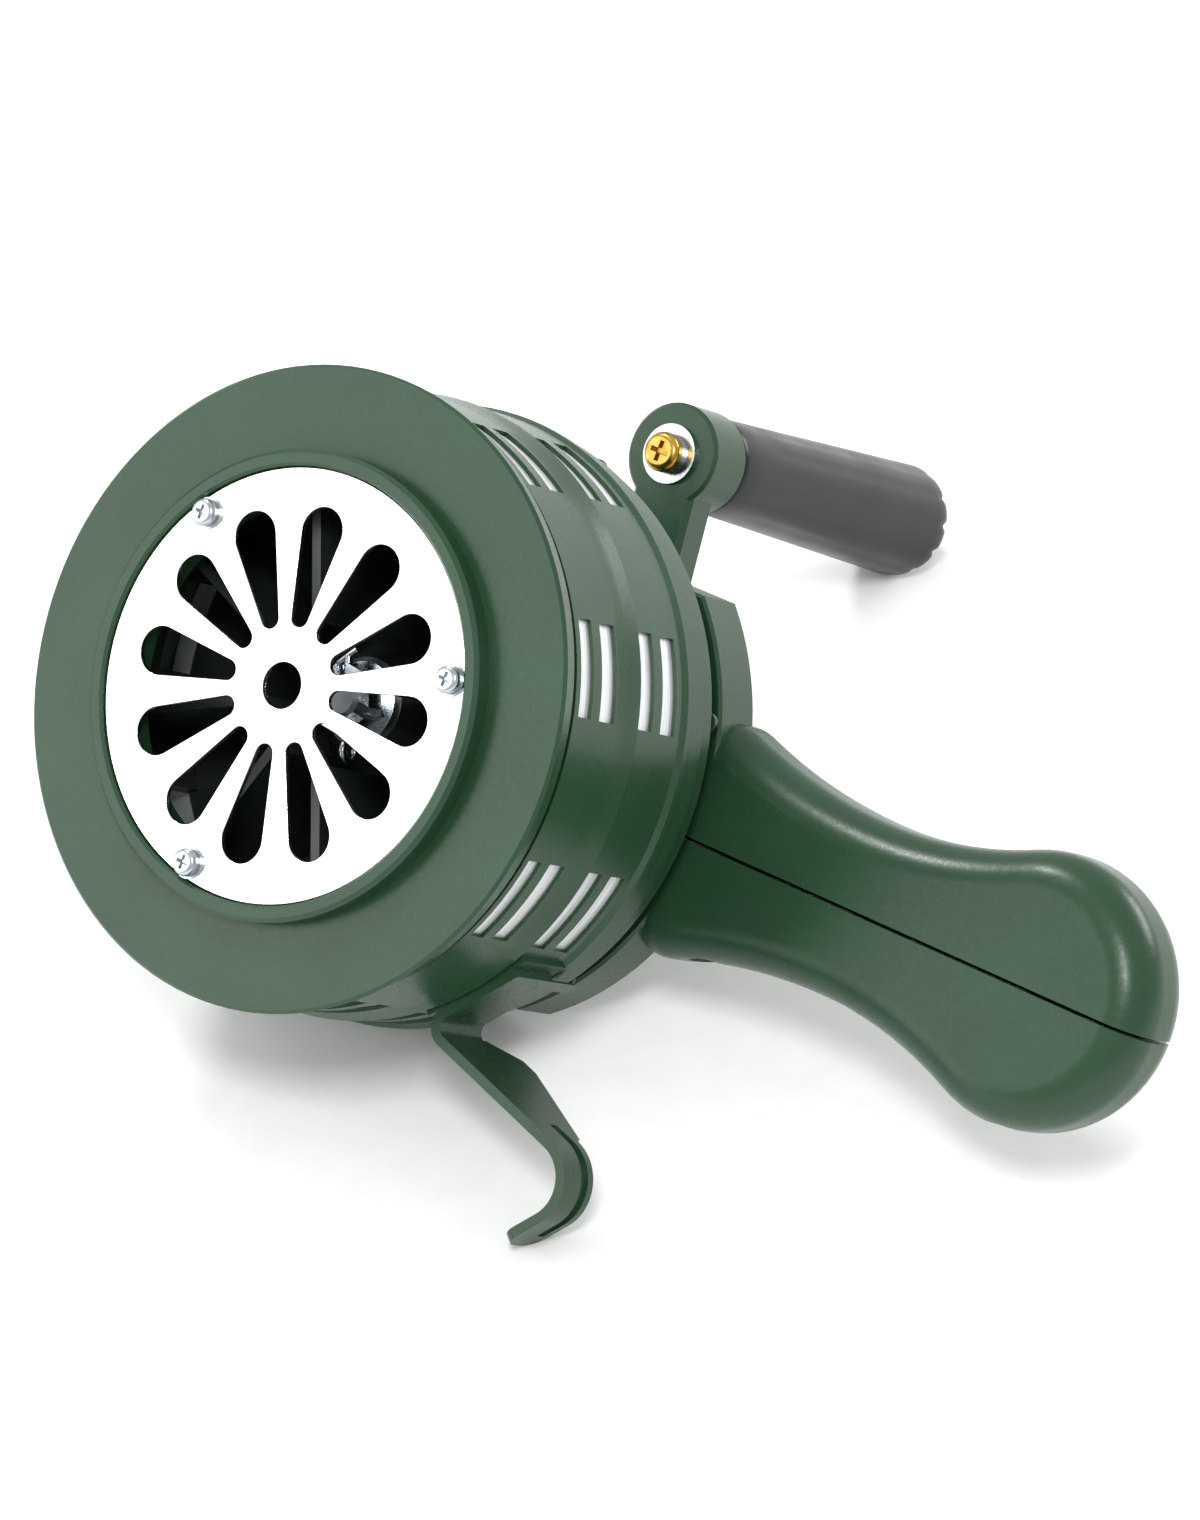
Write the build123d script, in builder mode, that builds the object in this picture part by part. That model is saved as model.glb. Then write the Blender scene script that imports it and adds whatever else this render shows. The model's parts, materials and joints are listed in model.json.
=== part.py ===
from build123d import *

import os
from math import acos, asin, atan2, cos, degrees, hypot, pi, radians, sin, sqrt, tan

# Hand-cranked siren, in millimetres.
#
# Working frame: the origin is the centre of the drum's front face, +Z runs back along the
# drum axis, +Y runs down the handle, and +X is the side that the crank arm points to.
# The mouth is at the front, so everything ahead of the front face has a negative z.
# The last section turns the finished pieces into the pose in which the siren lies on a table.

os.makedirs("parts", exist_ok=True)

# ---------------------------------------------------------------- driving dimensions
face_radius = 62.5              # flat green ring round the mouth
bore_radius = 57.0              # inside of the drum at its two ends
recess_one, recess_two = 60.0, 60.5  # thin wall behind the front and the rear slots
recess_start, recess_step, recess_end = 7.6, 24.5, 43.4
land_one_radius = 60.7          # outside of the drum at the front slots
land_two_radius = 61.2          # outside of the drum at the rear slots
flange_radius = 60.9            # rear flange of the drum
drum_end = 51.4                 # rear face of the drum casting

lip_inner, lip_outer, lip_height = 42.3, 45.5, 4.3
mouth_radius = 36.0
ledge_depth = 2.05              # the grille sits this far ahead of the front face
front_wall = 2.4

window_count = 8
window_pitch = 360 / window_count
window_angle = 65.7             # centre of the first window, measured from +X towards +Y
window_width = 17.8             # degrees
slots = [(8.0, 12.3), (15.2, 20.3), (28.0, 32.8), (35.8, 40.8)]
groove = (4.2, 6.5)             # groove behind the front ring
bridge_width = 38.0             # degrees of groove left solid at each die-slide parting

grille_radius, grille_thickness = 42.0, 1.2
petal_count, petal_phase = 12, -6.6
petal_inner, petal_outer = 11.5, 35.0
petal_tip_inner, petal_tip_outer = 2.0, 4.75
grille_screw_radius, grille_screw_angle = 39.1, -51.0

plate_radius = 59.6
plate_end = 57.0                # rear face of the bearing plate's rim
hub_radius = 14.0
hub_start, hub_end = 47.6, 64.0
bearing_outer, bearing_bore, bearing_width = 11.0, 4.0, 7.0
bearing_starts = (48.4, 56.2)

case_start, case_end = 61.5, 75.0
case_radius, case_flat = 58.4, 44.8
case_wall = 2.6
split_x = -3.0                  # the two handle halves meet on this plane
split_gap = 0.7

case_rear_wall = 2.8
handle_depth, handle_wall = 20.0, 2.8
bulb_radius, bulb_y = 26.7, 136.8
waist_half, waist_y = 17.9, 94.0
root_radius, root_y = 110.0, 47.0
edge_round = 8.0
handle_screw_ys, handle_screw_sink = (66.0, 100.0, 140.0), 3.6

module = 0.8
pressure_angle = radians(25)
crank_teeth, idler_pinion_teeth = 72, 12
idler_teeth, rotor_pinion_teeth = 60, 12
backlash = 0.14

rotor_radius = 56.3
rim_one, rim_two = 59.8, 60.3   # rim of the rotor behind the front and the rear slots
rotor_start, rotor_end = 3.4, 45.6
rotor_ports = [(6.5, 20.5), (27.5, 41.0)]
port_width = 20.0               # degrees
vane_inner, vane_thickness = 14.0, 2.0
shaft_radius = 5.0
nut_start = 16.4
cotter_angle = -24.5

pinion_start, pinion_end = 64.8, 68.6
idler_split, gears_end = 68.2, 72.4
crank_gear_start = 69.0
idler_pin_radius, idler_bush_radius = 2.0, 3.0
crank_shaft_radius = 5.0

arm_front = 100.0               # front face of the crank arm
arm_thickness, boss_thickness = 9.0, 12.0
arm_half_width = 7.4
arm_hub_start, arm_rear = 93.6, 113.0
pin_z = 104.5
crank_boss_radius = 10.8
grip_center = Vector(62.8, -3.0, 0)
grip_start, grip_end = 112.6, 195.0
grip_radius_start, grip_radius_end = 10.0, 12.2
grip_head_start = 188.0
spindle_radius, cap_radius = 4.0, 7.6
flute_count, flute_radius, flute_depth = 12, 3.0, 0.55

hook_angle = 133.2              # the hook's tab sits on the drum at this angle
hook_front, hook_tab_rear = 28.4, 42.8
hook_thickness = 2.0
hook_bend_radius, hook_bend_turn = 3.2, 117.4
hook_leg, hook_tip = 31.9, 9.2
hook_curl_radius, hook_curl_turn = 8.5, 116.0
hook_flare_rear, hook_curl_rear = 50.5, 38.5

hook_seat_radius = 61.4
rivet_length = hook_thickness + hook_seat_radius - recess_two - 0.1

plate_screw_radius, plate_screw_angle, plate_screw_count = 58.1, 10.0, 6
case_screw_radius = 48.0
cover_radius, cover_spigot, cover_end = 43.5, 37.6, 78.0
cover_screw_radius = 40.6
crank_boss_outer, crank_boss_end = 12.0, 92.0
bush_outer = 7.0

running = 0.03                  # radial clearance of a running fit

rest_up_x, rest_up_y = 0.7656, 0.0388   # the table's upward direction in the working frame

# ---------------------------------------------------------------- derived positions
idler_offset = module * (idler_teeth + rotor_pinion_teeth) / 2
crank_offset = module * (crank_teeth + idler_pinion_teeth) / 2
idler_center = Vector(split_x, -sqrt(idler_offset**2 - split_x**2), 0)
crank_center = Vector(split_x, idler_center.Y + crank_offset, 0)


def polar(radius, angle, z=0.0):
    """Point at a radius and an angle in degrees about the drum axis."""
    return Vector(radius * cos(radians(angle)), radius * sin(radians(angle)), z)


def cut_plane(center, z):
    """Plane square to the drum axis, with its origin over a centre."""
    return Plane(origin=(center.X, center.Y, z))


def involute_points(teeth, tip, base, steps=5):
    """Right flank of a tooth centred on +X, from its root side to its tip."""
    pitch = module * teeth / 2
    half_tooth = (pi * module / 2 - backlash) / (2 * pitch)
    inv_pitch = tan(pressure_angle) - pressure_angle
    points = []
    for step in range(steps):
        radius = max(base, 0.001) + (tip - base) * step / (steps - 1)
        roll = acos(min(1.0, pitch * cos(pressure_angle) / radius))
        angle = half_tooth + inv_pitch - (tan(roll) - roll)
        points.append((radius * cos(angle), -radius * sin(angle)))
    return points


def gear_sketch(teeth, phase):
    """Spur gear outline with stub teeth; one tooth is centred on the phase angle."""
    pitch = module * teeth / 2
    tip = pitch + 0.8 * module
    root = pitch - module
    base = max(pitch * cos(pressure_angle), root)
    right = involute_points(teeth, tip, base)
    left = [(x, -y) for x, y in reversed(right)]
    heel_angle = atan2(left[-1][1], left[-1][0])
    heel = ((root - 0.2) * cos(heel_angle), (root - 0.2) * sin(heel_angle))
    with BuildSketch() as tooth:
        with BuildLine():
            Polyline((heel[0], -heel[1]), *right)
            Polyline(right[-1], left[0])
            Polyline(*left, heel)
            Line(heel, (heel[0], -heel[1]))
        make_face()
    with BuildSketch() as outline:
        Circle(root)
        with PolarLocations(0, teeth, start_angle=phase):
            add(tooth.sketch)
    return outline.sketch


def pan_screw(radius, length, head_radius, head_height):
    """Cross-recess pan-head screw: the head stands on the XY plane and the shank hangs below."""
    with BuildPart() as screw:
        with BuildSketch():
            Circle(head_radius)
        extrude(amount=head_height)
        crown = screw.edges().filter_by(GeomType.CIRCLE).sort_by(Axis.Z)[-1]
        fillet(crown, radius=head_height * 0.5)
        with BuildSketch(Plane.XY.offset(head_height * 0.45)):
            Rectangle(head_radius * 1.05, head_radius * 0.26)
            Rectangle(head_radius * 0.26, head_radius * 1.05)
        extrude(amount=head_height, mode=Mode.SUBTRACT)
        with BuildSketch():
            Circle(radius)
        extrude(amount=-length)
    return screw.part


def facing_front(radius, start_angle, count, z):
    """Planes spaced round the drum axis that look out of the mouth."""
    spots = [polar(radius, start_angle + 360 / count * k, z) for k in range(count)]
    return [Plane(origin=spot, z_dir=(0, 0, -1)) for spot in spots]


def facing_rear(radius, start_angle, count, z):
    """Planes spaced round the drum axis that look backwards."""
    spots = [polar(radius, start_angle + 360 / count * k, z) for k in range(count)]
    return [Plane(origin=spot) for spot in spots]


def sector(width):
    """Wedge from the drum axis out past every radius, centred on +X."""
    with BuildSketch() as wedge:
        with BuildLine():
            Polyline((0, 0), polar(2 * face_radius, -width / 2), polar(2 * face_radius, width / 2), (0, 0))
        make_face()
    return wedge.sketch


# The split pin lies along this plane's normal, through the slots of the nut.
cotter_plane = Plane(origin=(0, 0, nut_start + 2.6), x_dir=(0, 0, 1), z_dir=polar(1.0, cotter_angle))

# Petal of the grille: two rounded ends joined by straight flanks.
with BuildSketch() as petal:
    with Locations((petal_inner + petal_tip_inner, 0)):
        Circle(petal_tip_inner)
    with Locations((petal_outer - petal_tip_outer, 0)):
        Circle(petal_tip_outer)
    make_hull()

# Flat seat on the drum for the hook's tab: x runs round the drum, y runs back.
hook_seat = Plane(
    origin=polar(hook_seat_radius, hook_angle, (hook_front + hook_tab_rear) / 2),
    x_dir=polar(1.0, hook_angle + 90),
    z_dir=polar(1.0, hook_angle),
)
rivet_planes = [
    Plane(origin=hook_seat.origin + hook_seat.x_dir * offset, x_dir=hook_seat.x_dir, z_dir=hook_seat.z_dir)
    for offset in (-5.5, 5.5)
]

# ---------------------------------------------------------------- drum housing
# One casting: front ring, lip round the mouth, windowed drum and rear flange.
with BuildPart() as drum_housing:
    with BuildSketch(Plane.XZ) as profile:
        with BuildLine():
            Polyline(
                (mouth_radius, front_wall), (mouth_radius, -ledge_depth), (lip_inner, -ledge_depth),
                (lip_inner, 0.5 - lip_height), (lip_inner + 0.5, -lip_height),
                (lip_outer - 0.8, -lip_height), (lip_outer, 0.8 - lip_height), (lip_outer, 0),
                (face_radius - 0.6, 0), (face_radius, 0.6), (face_radius - 0.9, groove[0]),
                (58.8, groove[0]), (58.8, groove[1]),
                (land_one_radius, groove[1]), (land_one_radius, 21.2),
                (land_two_radius + 0.5, 27.3), (land_two_radius, 27.7),
                (land_two_radius, 42.6), (land_two_radius + 0.7, 44.0),
                (land_two_radius + 0.7, 45.4), (flange_radius, 46.4),
                (flange_radius, drum_end), (bore_radius, drum_end),
                (bore_radius, recess_end + 1.0), (recess_two, recess_end),
                (recess_two, recess_step), (recess_one, recess_step - 0.5),
                (recess_one, recess_start), (bore_radius, recess_start - 0.6),
                (bore_radius, front_wall), (mouth_radius, front_wall),
            )
        make_face()
    revolve(axis=Axis.Z)

    # The die slides part at two opposite windows, where the groove is bridged.
    with BuildSketch(Plane.XY.offset(groove[0])):
        with PolarLocations(0, 2, start_angle=window_angle + 2 * window_pitch):
            add(sector(bridge_width))
        Circle(land_one_radius, mode=Mode.INTERSECT)
        Circle(bore_radius + 1.0, mode=Mode.SUBTRACT)
    extrude(amount=groove[1] - groove[0])

    # Rows of slots make up each window.
    for start, end in slots:
        with BuildSketch(Plane.XY.offset(start)):
            with PolarLocations(0, window_count, start_angle=window_angle):
                add(sector(window_width))
            Circle(bore_radius - 4, mode=Mode.SUBTRACT)
        extrude(amount=end - start, mode=Mode.SUBTRACT)
    with BuildSketch(Plane.XY.offset(groove[0])):
        for index in range(window_count):
            if index % 4 != 2:
                with PolarLocations(0, 1, start_angle=window_angle + index * window_pitch):
                    add(sector(window_width))
        Circle(bore_radius - 4, mode=Mode.SUBTRACT)
    extrude(amount=groove[1] - groove[0], mode=Mode.SUBTRACT)

    # Flat seat for the hook's tab, between two windows.
    with BuildSketch(hook_seat):
        Rectangle(24.0, hook_tab_rear - hook_front)
    extrude(amount=-3.0)
    with BuildSketch(Plane.XY.offset(recess_step)):
        Circle(recess_two)
    extrude(amount=recess_end - recess_step, mode=Mode.SUBTRACT)

    # Tapped holes: grille screws in the ledge, plate screws in the rear flange.
    with Locations(Plane.XY.offset(-ledge_depth)):
        with PolarLocations(grille_screw_radius, 3, start_angle=grille_screw_angle):
            Cylinder(radius=1.5, height=2 * (ledge_depth + front_wall), mode=Mode.SUBTRACT)
    with Locations(Plane.XY.offset(drum_end)):
        with PolarLocations(plate_screw_radius, plate_screw_count, start_angle=10):
            Cylinder(radius=1.25, height=9.0, mode=Mode.SUBTRACT)
    for rivet in rivet_planes:
        with Locations(rivet):
            Cylinder(radius=1.6, height=14.0, mode=Mode.SUBTRACT)

# ---------------------------------------------------------------- mouth grille
with BuildPart() as mouth_grille:
    with BuildSketch(Plane.XY.offset(-ledge_depth)):
        Circle(grille_radius)
        Circle(4.5, mode=Mode.SUBTRACT)
        with PolarLocations(0, petal_count, start_angle=petal_phase):
            add(petal.sketch, mode=Mode.SUBTRACT)
        with PolarLocations(grille_screw_radius, 3, start_angle=grille_screw_angle):
            Circle(1.6, mode=Mode.SUBTRACT)
    extrude(amount=-grille_thickness)

grille_front = -ledge_depth - grille_thickness
with BuildPart() as grille_washers:
    with BuildSketch(Plane.XY.offset(grille_front)):
        with PolarLocations(grille_screw_radius, 3, start_angle=grille_screw_angle):
            Circle(3.1)
            Circle(1.6, mode=Mode.SUBTRACT)
    extrude(amount=-0.5)

grille_screw = pan_screw(1.45, 5.4, 2.7, 1.9)
with BuildPart() as grille_screws:
    with Locations(*facing_front(grille_screw_radius, grille_screw_angle, 3, grille_front - 0.5)):
        add(grille_screw)

# ---------------------------------------------------------------- bearing plate
# Closes the drum, carries both rotor bearings in its hub, and bolts to the gear case.
with BuildPart() as bearing_plate:
    with BuildSketch(Plane.XZ):
        with BuildLine():
            Polyline(
                (9.0, hub_start), (hub_radius, hub_start), (hub_radius + 3, 52.0), (55.0, 52.0),
                (55.0, drum_end), (plate_radius - 0.4, drum_end), (plate_radius, drum_end + 0.4),
                (plate_radius, plate_end - 0.8), (plate_radius - 0.8, plate_end), (54.0, plate_end),
                (54.0, 55.0), (hub_radius + 2, 55.0), (hub_radius, plate_end), (hub_radius, hub_end),
                (bearing_outer, hub_end), (bearing_outer, bearing_starts[0]), (9.0, bearing_starts[0]),
                (9.0, hub_start),
            )
        make_face()
    revolve(axis=Axis.Z)
    with BuildSketch(Plane.XY.offset(54.0)):
        with PolarLocations(case_screw_radius, 4, start_angle=45):
            Circle(5.5)
        with Locations((idler_center.X, idler_center.Y)):
            Circle(5.0)
    extrude(amount=case_start - 54.0)
    with Locations(cut_plane(idler_center, 53.5)):
        Cylinder(
            radius=idler_pin_radius, height=10.0,
            align=(Align.CENTER, Align.CENTER, Align.MIN), mode=Mode.SUBTRACT,
        )
    with Locations(Plane.XY.offset(case_start)):
        with PolarLocations(case_screw_radius, 4, start_angle=45):
            Cylinder(radius=2.5, height=16.0, mode=Mode.SUBTRACT)
    with Locations(Plane.XY.offset(drum_end)):
        with PolarLocations(plate_screw_radius, plate_screw_count, start_angle=10):
            Cylinder(radius=1.35, height=14.0, mode=Mode.SUBTRACT)

plate_screw = pan_screw(0.95, 9.0, 1.9, 1.4)
with BuildPart() as plate_screws:
    with Locations(*facing_rear(plate_screw_radius, plate_screw_angle, plate_screw_count, plate_end)):
        add(plate_screw)

case_screw = pan_screw(2.45, 8.6, 4.2, 2.8)
with BuildPart() as case_screws:
    with Locations(*facing_rear(case_screw_radius, 45, 4, case_start + case_wall)):
        add(case_screw)

# ---------------------------------------------------------------- rotor bearings
race_radius = (bearing_outer + bearing_bore) / 2
with BuildPart() as bearing_outer_rings:
    for start in bearing_starts:
        middle = start + bearing_width / 2
        with BuildSketch(Plane.XZ):
            with Locations((bearing_outer - 1.1, middle)):
                Rectangle(2.2, bearing_width)
            with Locations((race_radius, middle)):
                Circle(2.0, mode=Mode.SUBTRACT)
        revolve(axis=Axis.Z)
with BuildPart() as bearing_inner_rings:
    for start in bearing_starts:
        middle = start + bearing_width / 2
        with BuildSketch(Plane.XZ):
            with Locations((bearing_bore + 1.1, middle)):
                Rectangle(2.2, bearing_width)
            with Locations((race_radius, middle)):
                Circle(2.0, mode=Mode.SUBTRACT)
        revolve(axis=Axis.Z)
with BuildPart() as bearing_balls:
    for start in bearing_starts:
        with Locations(Plane.XY.offset(start + bearing_width / 2)):
            with PolarLocations(race_radius, 7):
                Sphere(1.9)
with BuildPart() as bearing_spacer:
    with BuildSketch(Plane.XY.offset(bearing_starts[0] + bearing_width)):
        Circle(5.6)
        Circle(bearing_bore, mode=Mode.SUBTRACT)
    extrude(amount=bearing_starts[1] - bearing_starts[0] - bearing_width)
with BuildPart() as bearing_clip:
    with BuildSketch(Plane.XY.offset(bearing_starts[1] + bearing_width)):
        Circle(bearing_outer)
        Circle(bearing_outer - 1.8, mode=Mode.SUBTRACT)
        with Locations((0, -bearing_outer)):
            Rectangle(4.0, 5.0, mode=Mode.SUBTRACT)
    extrude(amount=0.7)

# ---------------------------------------------------------------- rotor
# Cup-shaped impeller: an open front, eight vanes and two rows of ports in its rim.
with BuildPart() as rotor:
    with BuildSketch(Plane.XZ):
        with BuildLine():
            Polyline(
                (shaft_radius, 24.0), (9.0, 24.0), (12.0, 30.0), (20.0, 40.0), (24.0, 41.0),
                (rotor_radius - 3, 41.0), (rotor_radius - 3, 6.5), (50.0, 6.5), (50.0, rotor_start),
                (rotor_radius, rotor_start), (rotor_radius, recess_start - 0.3),
                (rim_one, recess_start + 0.4), (rim_one, recess_step - 0.2),
                (rim_two, recess_step + 0.4), (rim_two, recess_end - 0.5),
                (rotor_radius, recess_end + 0.3), (rotor_radius, rotor_end), (shaft_radius, rotor_end),
                (shaft_radius, 24.0),
            )
        make_face()
    revolve(axis=Axis.Z)
    with BuildSketch(Plane.XY.offset(8.0)):
        with PolarLocations(0, window_count, start_angle=window_angle):
            with Locations((30.0, 0)):
                Rectangle(50.0, vane_thickness)
        Circle(vane_inner, mode=Mode.SUBTRACT)
    extrude(amount=33.5)
    with BuildSketch(Plane.XZ):
        with BuildLine():
            Polyline((0, 0), (9.0, 0), (9.0, 24.0), (shaft_radius, 24.0), (shaft_radius, 50.0), (0, 50.0), (0, 0))
        make_face()
    revolve(axis=Axis.Z, mode=Mode.SUBTRACT)
    for start, end in rotor_ports:
        with BuildSketch(Plane.XY.offset(start)):
            with PolarLocations(0, window_count, start_angle=window_angle + window_pitch / 2):
                add(sector(port_width))
            Circle(rotor_radius - 5, mode=Mode.SUBTRACT)
        extrude(amount=end - start, mode=Mode.SUBTRACT)

with BuildPart() as rotor_shaft:
    with BuildSketch(Plane.XZ):
        with BuildLine():
            Polyline(
                (0, nut_start - 0.6), (3.2, nut_start - 0.6), (4.0, nut_start + 0.2), (4.0, 24.0),
                (shaft_radius, 24.0), (shaft_radius, bearing_starts[0]), (bearing_bore, bearing_starts[0]),
                (bearing_bore, 64.0), (2.5, 64.0), (2.5, pinion_end), (0, pinion_end), (0, nut_start - 0.6),
            )
        make_face()
    revolve(axis=Axis.Z)
    with Locations(cotter_plane):
        Cylinder(radius=1.0, height=12.0, mode=Mode.SUBTRACT)

with BuildPart() as castle_nut:
    with BuildSketch(Plane.XY.offset(nut_start)):
        RegularPolygon(radius=6.5, side_count=6, major_radius=False, rotation=cotter_angle)
        Circle(4.0, mode=Mode.SUBTRACT)
    extrude(amount=6.6)
    with BuildSketch(Plane.XY.offset(nut_start)):
        with PolarLocations(0, 3, start_angle=cotter_angle):
            Rectangle(20.0, 2.4)
    extrude(amount=4.6, mode=Mode.SUBTRACT)

with BuildPart() as rotor_washer:
    with BuildSketch(Plane.XY.offset(nut_start + 6.6)):
        Circle(8.0)
        Circle(4.0, mode=Mode.SUBTRACT)
    extrude(amount=24.0 - nut_start - 6.6)

# Split pin through the nut's slots: a straight shank, an eye, and two short bent ends.
with BuildPart() as cotter_pin:
    with Locations(cotter_plane):
        Cylinder(radius=0.9, height=17.0)
    with Locations(cotter_plane.offset(-10.2)):
        Torus(major_radius=2.0, minor_radius=0.8, rotation=(90, 0, 0))
    with Locations(cotter_plane.offset(8.5)):
        Cylinder(radius=0.85, height=5.0, rotation=(62, 0, 0))

# ---------------------------------------------------------------- gear train
# Crank gear drives the idler pinion; the idler gear drives the pinion on the rotor shaft.
to_rotor = degrees(atan2(-idler_center.Y, -idler_center.X))
with BuildPart() as rotor_pinion:
    with BuildSketch(Plane.XY.offset(pinion_start)):
        add(gear_sketch(rotor_pinion_teeth, to_rotor + 180 + 180 / rotor_pinion_teeth))
        Circle(2.5, mode=Mode.SUBTRACT)
    extrude(amount=pinion_end - pinion_start)

with BuildPart() as idler_gear:
    with BuildSketch(cut_plane(idler_center, pinion_start)):
        add(gear_sketch(idler_teeth, to_rotor))
        Circle(idler_bush_radius, mode=Mode.SUBTRACT)
        with PolarLocations(14.5, 6):
            Circle(4.2, mode=Mode.SUBTRACT)
    extrude(amount=idler_split - pinion_start)

with BuildPart() as idler_pinion:
    with BuildSketch(cut_plane(idler_center, idler_split)):
        add(gear_sketch(idler_pinion_teeth, 90 + 180 / idler_pinion_teeth))
        Circle(idler_bush_radius, mode=Mode.SUBTRACT)
    extrude(amount=gears_end - idler_split)

with BuildPart() as idler_bush:
    with BuildSketch(cut_plane(idler_center, pinion_start)):
        Circle(idler_bush_radius)
        Circle(idler_pin_radius + running, mode=Mode.SUBTRACT)
    extrude(amount=gears_end - pinion_start)

with BuildPart() as idler_pin:
    with BuildSketch(cut_plane(idler_center, 53.5)):
        Circle(idler_pin_radius)
    extrude(amount=76.5 - 53.5)

with BuildPart() as crank_gear:
    with BuildSketch(cut_plane(crank_center, crank_gear_start)):
        add(gear_sketch(crank_teeth, -90))
        Circle(crank_shaft_radius, mode=Mode.SUBTRACT)
        with PolarLocations(17.0, 6, start_angle=30):
            Circle(5.5, mode=Mode.SUBTRACT)
    extrude(amount=gears_end - crank_gear_start)

# ---------------------------------------------------------------- case and handle
# Half-widths of the handle follow its waist, the arc up to the case and the arc down to the bulb.
neck_rise = bulb_y - waist_y
neck_radius = (waist_half**2 + neck_rise**2 - bulb_radius**2) / (2 * (bulb_radius - waist_half))
neck_center_x = waist_half + neck_radius
neck_reach = bulb_radius / (bulb_radius + neck_radius)
tangent_x = neck_center_x * neck_reach
tangent_y = bulb_y - neck_rise * neck_reach
root_x = waist_half + root_radius - sqrt(root_radius**2 - (waist_y - root_y) ** 2)
root_mid_y = (waist_y + root_y) / 2
root_mid_x = waist_half + root_radius - sqrt(root_radius**2 - (waist_y - root_mid_y) ** 2)
neck_mid_y = (waist_y + tangent_y) / 2
neck_mid_x = neck_center_x - sqrt(neck_radius**2 - (neck_mid_y - waist_y) ** 2)
with BuildSketch() as handle_outline:
    with BuildLine():
        Line((-root_x, root_y), (root_x, root_y))
        ThreePointArc((root_x, root_y), (root_mid_x, root_mid_y), (waist_half, waist_y))
        ThreePointArc((waist_half, waist_y), (neck_mid_x, neck_mid_y), (tangent_x, tangent_y))
        ThreePointArc((tangent_x, tangent_y), (0, bulb_y + bulb_radius), (-tangent_x, tangent_y))
        ThreePointArc((-tangent_x, tangent_y), (-neck_mid_x, neck_mid_y), (-waist_half, waist_y))
        ThreePointArc((-waist_half, waist_y), (-root_mid_x, root_mid_y), (-root_x, root_y))
    make_face()
    fillet(handle_outline.vertices().group_by(Axis.Y)[0], radius=9.0)

# Hollow body of case and handle, before it is parted into two halves.
with BuildPart() as case_body:
    with BuildSketch(Plane.XY.offset(case_start)):
        Circle(case_radius)
        with Locations((split_x, 0)):
            Rectangle(2 * case_flat, 2 * case_radius + 20, mode=Mode.INTERSECT)
    extrude(amount=case_end - case_start)
    chamfer(case_body.edges().group_by(Axis.Z)[0], length=0.6)
    chamfer(case_body.edges().group_by(Axis.Z)[-1], length=1.6)
with BuildPart() as handle_body:
    with BuildSketch(Plane.XY.offset(case_start)):
        with Locations((split_x, 0)):
            add(handle_outline.sketch)
    extrude(amount=handle_depth)
    fillet(handle_body.edges().group_by(Axis.Z)[0] + handle_body.edges().group_by(Axis.Z)[-1], edge_round)
with BuildPart() as handle_hollow:
    with BuildSketch(Plane.XY.offset(case_start + handle_wall)):
        with Locations((split_x, 0)):
            add(handle_outline.sketch)
        offset(amount=-handle_wall)
    extrude(amount=handle_depth - 2 * handle_wall)
    fillet(
        handle_hollow.edges().group_by(Axis.Z)[0] + handle_hollow.edges().group_by(Axis.Z)[-1],
        edge_round - handle_wall,
    )
with BuildPart() as case_hollow:
    with BuildSketch(Plane.XY.offset(case_start + case_wall)):
        Circle(case_radius - case_wall)
        with Locations((split_x, 0)):
            Rectangle(2 * (case_flat - case_wall), 2 * case_radius, mode=Mode.INTERSECT)
    extrude(amount=case_end - case_start - case_wall - case_rear_wall)

handle_screw_half_widths = [
    waist_half + root_radius - sqrt(root_radius**2 - (waist_y - handle_screw_ys[0]) ** 2),
    neck_center_x - sqrt(neck_radius**2 - (handle_screw_ys[1] - waist_y) ** 2),
    sqrt(bulb_radius**2 - (handle_screw_ys[2] - bulb_y) ** 2),
]
screw_sites = list(zip(handle_screw_ys, handle_screw_half_widths))
cross_z = case_start + handle_depth / 2


def case_half(side):
    """One half of case and handle: side is -1 for the half with the screw heads, +1 for the other."""
    with BuildPart() as half:
        add(case_body.part)
        add(handle_body.part)
        add(case_hollow.part, mode=Mode.SUBTRACT)
        add(handle_hollow.part, mode=Mode.SUBTRACT)
        with BuildSketch(Plane.XY.offset(case_start)):
            Circle(hub_radius + 0.3)
            with Locations((idler_center.X, idler_center.Y)):
                Circle(idler_pin_radius + 0.5)
            with PolarLocations(case_screw_radius, 4, start_angle=45):
                Circle(2.7)
        extrude(amount=case_wall, mode=Mode.SUBTRACT)
        with BuildSketch(Plane.XY.offset(case_end - case_rear_wall)):
            with Locations((split_x, 0)):
                Circle(cover_spigot + 0.3)
                with PolarLocations(cover_screw_radius, 6, start_angle=30):
                    Circle(1.5)
        extrude(amount=case_rear_wall, mode=Mode.SUBTRACT)
        split(bisect_by=Plane(origin=(split_x + side * split_gap / 2, 0, 0), z_dir=(side, 0, 0)))
        pillar_radius, pillar_inset = (5.2, 2.2) if side < 0 else (4.4, 1.6)
        for y, half_width in screw_sites:
            pillar = Plane(origin=(split_x, y, cross_z), z_dir=(side, 0, 0))
            with BuildSketch(pillar):
                Circle(pillar_radius)
            extrude(amount=half_width - pillar_inset)
            with BuildSketch(pillar):
                Circle(2.2 if side < 0 else 1.95)
            extrude(amount=half_width + 1.0 if side < 0 else half_width - 4.0, mode=Mode.SUBTRACT)
            if side < 0:
                with BuildSketch(pillar.offset(half_width - handle_screw_sink)):
                    Circle(4.6)
                extrude(amount=handle_screw_sink + 2.0, mode=Mode.SUBTRACT)
    return half.part


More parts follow.
